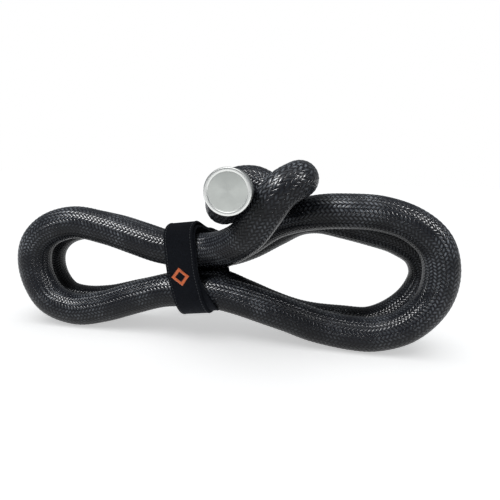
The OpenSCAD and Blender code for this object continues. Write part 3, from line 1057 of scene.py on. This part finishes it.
class Layer:
    """Stations of one strap layer, with the radius of its inner face at each."""

    def __init__(self, centres, angles, inner):
        self.centres, self.angles = centres, angles
        self.inner = np.broadcast_to(inner, len(angles)).astype(float)

    def at(self, lift):
        """Depth and height of points that far out from the inner face."""
        out = self.inner[:, None] + lift
        return (self.centres[:, :1] + out * np.cos(self.angles)[:, None],
                self.centres[:, 1:] + out * np.sin(self.angles)[:, None])


def over_the_front_top(centres, angles):
    """How near each station is to the strap's front top, where its layers stand off most."""
    depth = centres[:, 0] + OVERLAP_INNER * np.cos(angles)
    height = centres[:, 1] + OVERLAP_INNER * np.sin(angles)
    top_depth, top_height = -30 * MM, 42 * MM
    return np.exp(-((depth - top_depth) / (22 * MM)) ** 2 - ((height - top_height) / (16 * MM)) ** 2)


def band_layer(strap):
    """The inner layer, once round. It stands off the cord less than the outer one."""
    centres, angles = outline_stations()
    share = 0.35
    return Layer(centres, angles, BAND_INNER + share * strap.swell * over_the_front_top(centres, angles))


def outer_run():
    """Stations of the outer layer from the tail's end over the top to the foot, and where its hinge is."""
    centres, angles = outline_stations()
    depth = centres[:, 0] + TAIL_INNER * np.cos(angles)
    height = centres[:, 1] + TAIL_INNER * np.sin(angles)
    order = np.roll(np.arange(len(angles)), -int(np.argmax((depth > HINGE_DEPTH) & (height > TAIL_LOW))))
    hinge = int(np.argmax(depth[order] < HINGE_DEPTH))
    foot = int(np.argmax((height[order] < TAIL_LOW) & (depth[order] > OVERLAP_END)))
    return centres[order[:foot]], angles[order[:foot]], hinge


def outer_layer(strap):
    """The outer layer: the tail lies on its patches, and the rest settles onto the band past the hinge."""
    centres, angles, hinge = outer_run()
    settling = 18
    settled = eased((np.arange(len(angles)) - hinge) / settling)
    inner = TAIL_INNER + (OVERLAP_INNER - TAIL_INNER) * settled
    return Layer(centres, angles, inner + strap.swell * over_the_front_top(centres, angles)), hinge


def along_hank(across, depth, height, drift, shift=0.0):
    """Points of the strap in the model's frame, its foot drifting along the hank."""
    foot_starts, foot_length = 2 * MM, 34 * MM
    drift = drift * eased((foot_starts - height) / foot_length)
    ripple = 0.35 * MM * np.sin(height * 190 + depth * 75)
    local = np.stack(np.broadcast_arrays(across + shift + drift + ripple, depth, height), axis=-1)
    return local @ np.array(STRAP_WAY.to_3x3()).T + np.array(STRAP_WAY.translation)


def tape_section(width, thick, ridge):
    """Outline of a tape's section as across and lift, with rolled edges and a ridge along each."""
    half, edge = width / 2, thick / 2
    rolled = np.linspace(-math.pi / 2, math.pi / 2, 7)
    right = np.stack([half - edge + edge * np.cos(rolled), edge + edge * np.sin(rolled)], axis=-1)
    top = np.linspace(half - edge, -half + edge, 41)[1:-1]
    from_edge = half - np.abs(top)
    raised = ridge * np.exp(-((from_edge - 1.1 * MM) / (0.8 * MM)) ** 2)
    sunk = 0.5 * ridge * np.exp(-((from_edge - 2.4 * MM) / (0.5 * MM)) ** 2)
    top = np.stack([top, thick + raised - sunk], axis=-1)
    left = np.stack([-right[::-1, 0], right[::-1, 1]], axis=-1)
    bottom = np.stack([np.linspace(-half + edge, half - edge, 13)[1:-1], np.zeros(11)], axis=-1)
    return np.vstack([right, top, left, bottom])


def tape(name, layer, width, thick, material, drift, closed=False, shift=0.0, ridge=0.0):
    """A tape swept along a layer's stations."""
    section = tape_section(width, thick, ridge)
    depth, height = layer.at(section[None, :, 1])
    points = along_hank(section[None, :, 0], depth, height, drift, shift)
    rows, sides = points.shape[:2]
    faces = wall_faces(rows, sides).tolist()
    end = (rows - 1) * sides
    if closed:
        faces += [(end + j, end + (j + 1) % sides, (j + 1) % sides, j) for j in range(sides)]
    else:
        faces += [tuple(range(sides)), tuple(end + j for j in range(sides))]
    return outward(mesh_piece(name, points, faces, material), sharp=math.radians(60))


def bend_at_hinge(piece):
    """Bake a piece of strap's placement into its mesh; nothing bends at the hinge."""
    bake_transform(piece)


class CORDHANK_OT_strap(bpy.types.Operator):
    """Lay the strap's band round the waist and its outer layer over it"""

    bl_idname = "cordhank.strap"
    bl_label = "Strap"

    def execute(self, context):
        strap = context.scene.cordhank_strap
        fabric = fabric_material("strap_pile", strap.fabric_colour)
        band = tape("strap_band_laid", band_layer(strap), strap.width, strap.layer, fabric, strap.drift,
                    closed=True, ridge=0.5 * strap.edge_ridge)
        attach(band, "cord")
        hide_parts("strap_band")
        layer, _ = outer_layer(strap)
        outer = tape("strap_outer_laid", layer, strap.width, strap.layer, fabric, strap.outer_drift,
                     shift=strap.layer_shift, ridge=strap.edge_ridge)
        bend_at_hinge(outer)
        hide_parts("strap_overlap", "strap_tail")
        return {"FINISHED"}


class CORDHANK_OT_patches(bpy.types.Operator):
    """Lay the loop patch on the band and the hook patch with its hooks under the tail"""

    bl_idname = "cordhank.patches"
    bl_label = "Hook and loop patches"

    def execute(self, context):
        strap = context.scene.cordhank_strap
        centres, angles, hinge = outer_run()
        width = strap.width - 2 * strap.patch_inset
        loops = Layer(centres[:hinge], angles[:hinge], LOOPS_INNER)
        nap = fabric_material("loop_pile", strap.fabric_colour, pile=2600.0, depth=0.5 * MM)
        patch = tape("loop_patch_napped", loops, width, strap.patch, nap, strap.outer_drift)
        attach(patch, "cord")
        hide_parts("strap_loop_patch")
        clear = 4
        hooks = Layer(centres[clear:hinge], angles[clear:hinge], HOOKS_INNER)
        plastic = moulded_material("hook_plastic", (0.015, 0.015, 0.017), 0.4, grain=2200.0)
        ground = tape("hook_patch_moulded", hooks, width, strap.patch, plastic, strap.outer_drift)
        rows = self.hooks(strap, hooks, width)
        stems = threads("hook_patch_hooks", rows, 0.12 * MM, plastic, sides=5)
        for piece in (ground, stems):
            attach(piece, "tail")
        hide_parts("strap_hook_patch")
        return {"FINISHED"}

    def hooks(self, strap, layer, width):
        """Bent stems in rows under the hook patch."""
        spacing = 1.5 * MM
        columns = np.arange(-width / 2 + spacing, width / 2 - spacing / 2, spacing)
        stem = np.array([(0.0, 0.05), (0.0, -0.25), (0.12, -0.4), (0.32, -0.42), (0.42, -0.3)]) * MM
        depth, height = layer.at(stem[None, :, 1])
        runs = []
        for i in range(1, len(layer.angles) - 1):
            way = 1 if i % 2 else -1
            for x in columns + (spacing / 2 if i % 2 else 0):
                runs.append(along_hank(x + way * stem[:, 0], depth[i], height[i], strap.outer_drift))
        return runs


class CORDHANK_OT_stitches(bpy.types.Operator):
    """Sew a row of stitches along each edge of the outer layer"""

    bl_idname = "cordhank.stitches"
    bl_label = "Stitches"

    def execute(self, context):
        strap = context.scene.cordhank_strap
        layer, _ = outer_layer(strap)
        surface = strap.layer - 0.25 * strap.edge_ridge
        depth, height = (column[:, 0] for column in layer.at(surface))
        along = np.concatenate([[0], np.cumsum(np.hypot(np.diff(depth), np.diff(height)))])
        shown = 0.78 * strap.stitch
        arch = np.array([-0.25, 0.12, 0.2, 0.12, -0.25]) * MM
        runs = []
        for start in np.arange(strap.stitch, along[-1] - strap.stitch, strap.stitch):
            at = start + np.linspace(0, shown, len(arch))
            places = [np.interp(at, along, values) for values in (
                layer.centres[:, 0], layer.centres[:, 1], layer.inner, np.unwrap(layer.angles))]
            lifted = places[2] + surface + arch
            d, h = places[0] + lifted * np.cos(places[3]), places[1] + lifted * np.sin(places[3])
            for side in (-1, 1):
                wander = 0.08 * MM * np.sin(start * 4100 + side)
                across = side * (strap.width / 2 - strap.stitch_inset) + wander
                runs.append(along_hank(across, d, h, strap.outer_drift, strap.layer_shift))
        black_thread = thread_material("sewing_thread", (0.03, 0.034, 0.042))
        sewn = threads("strap_stitches_sewn", runs, 0.27 * MM, black_thread)
        bend_at_hinge(sewn)
        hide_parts("strap_stitching", "tail_stitching")
        return {"FINISHED"}


class CORDHANK_OT_mark(bpy.types.Operator):
    """Embroider a plain diamond on the strap's front in satin stitch"""

    bl_idname = "cordhank.mark"
    bl_label = "Embroidered mark"

    def execute(self, context):
        strap = context.scene.cordhank_strap
        layer, _ = outer_layer(strap)
        front = layer.at(strap.layer)
        faces_forward = np.cos(layer.angles) < -0.8
        depths, heights = front[0][faces_forward, 0][::-1], front[1][faces_forward, 0][::-1]
        size, inner = strap.mark_size, strap.mark_size - strap.mark_band
        corners = [np.array(c, float) for c in ((1, 0), (0, 1), (-1, 0), (0, -1))]
        arch = np.array([0.02, 0.34, 0.44, 0.34, 0.02]) * MM
        per_side = 27
        runs = []
        for here, after in zip(corners, corners[1:] + corners[:1]):
            for t in (np.arange(per_side) + 0.5) / per_side:
                outside = size * (here + (after - here) * t)
                inside = inner * (here + (after - here) * min(1.0, t + 0.06))
                way = inside + (outside - inside) * np.linspace(0, 1, len(arch))[:, None]
                height = MARK_PLACE[1] + way[:, 1]
                depth = np.interp(height, heights, depths) - arch
                across = MARK_PLACE[0] + way[:, 0]
                runs.append(along_hank(across, depth, height, strap.outer_drift, strap.layer_shift))
        mark = threads("embroidered_mark", runs, 0.29 * MM,
                       thread_material("mark_thread", strap.mark_colour, sheen=0.5))
        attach(mark, "cord")
        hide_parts("woven_mark")
        return {"FINISHED"}


# ---------------------------------------------------------------- the panel


class CORDHANK_PT_panel(bpy.types.Panel):
    """The settings and the steps that build the hank"""

    bl_label = "Cord hank"
    bl_idname = "CORDHANK_PT_panel"
    bl_space_type = "VIEW_3D"
    bl_region_type = "UI"
    bl_category = "Cord hank"

    def draw(self, context):
        scene = context.scene
        for title, settings in (("Cord", scene.cordhank_cord), ("Caps", scene.cordhank_cap),
                                ("Strap", scene.cordhank_strap), ("Stage", scene.cordhank_stage)):
            box = self.layout.box()
            box.label(text=title)
            for name in settings.bl_rna.properties.keys():
                if name not in {"rna_type", "name"}:
                    box.prop(settings, name)
        for step in STEPS:
            self.layout.operator(step.bl_idname)


# ---------------------------------------------------------------- registering and running

STEPS = (CORDHANK_OT_camera, CORDHANK_OT_sleeve, CORDHANK_OT_core, CORDHANK_OT_caps, CORDHANK_OT_shells,
         CORDHANK_OT_crimp_bands, CORDHANK_OT_small_parts, CORDHANK_OT_strap, CORDHANK_OT_patches,
         CORDHANK_OT_stitches, CORDHANK_OT_mark, CORDHANK_OT_stage)
CLASSES = (CordSettings, CapSettings, StrapSettings, StageSettings, *STEPS, CORDHANK_PT_panel)


def register():
    for cls in CLASSES:
        bpy.utils.register_class(cls)
    bpy.types.Scene.cordhank_cord = PointerProperty(type=CordSettings)
    bpy.types.Scene.cordhank_cap = PointerProperty(type=CapSettings)
    bpy.types.Scene.cordhank_strap = PointerProperty(type=StrapSettings)
    bpy.types.Scene.cordhank_stage = PointerProperty(type=StageSettings)


def unregister():
    for name in ("cordhank_cord", "cordhank_cap", "cordhank_strap", "cordhank_stage"):
        delattr(bpy.types.Scene, name)
    for cls in reversed(CLASSES):
        bpy.utils.unregister_class(cls)


def main():
    """Builds every piece."""
    register()
    for step in STEPS:
        getattr(bpy.ops.cordhank, step.bl_idname.split(".")[1])()


if __name__ == "__main__":
    main()
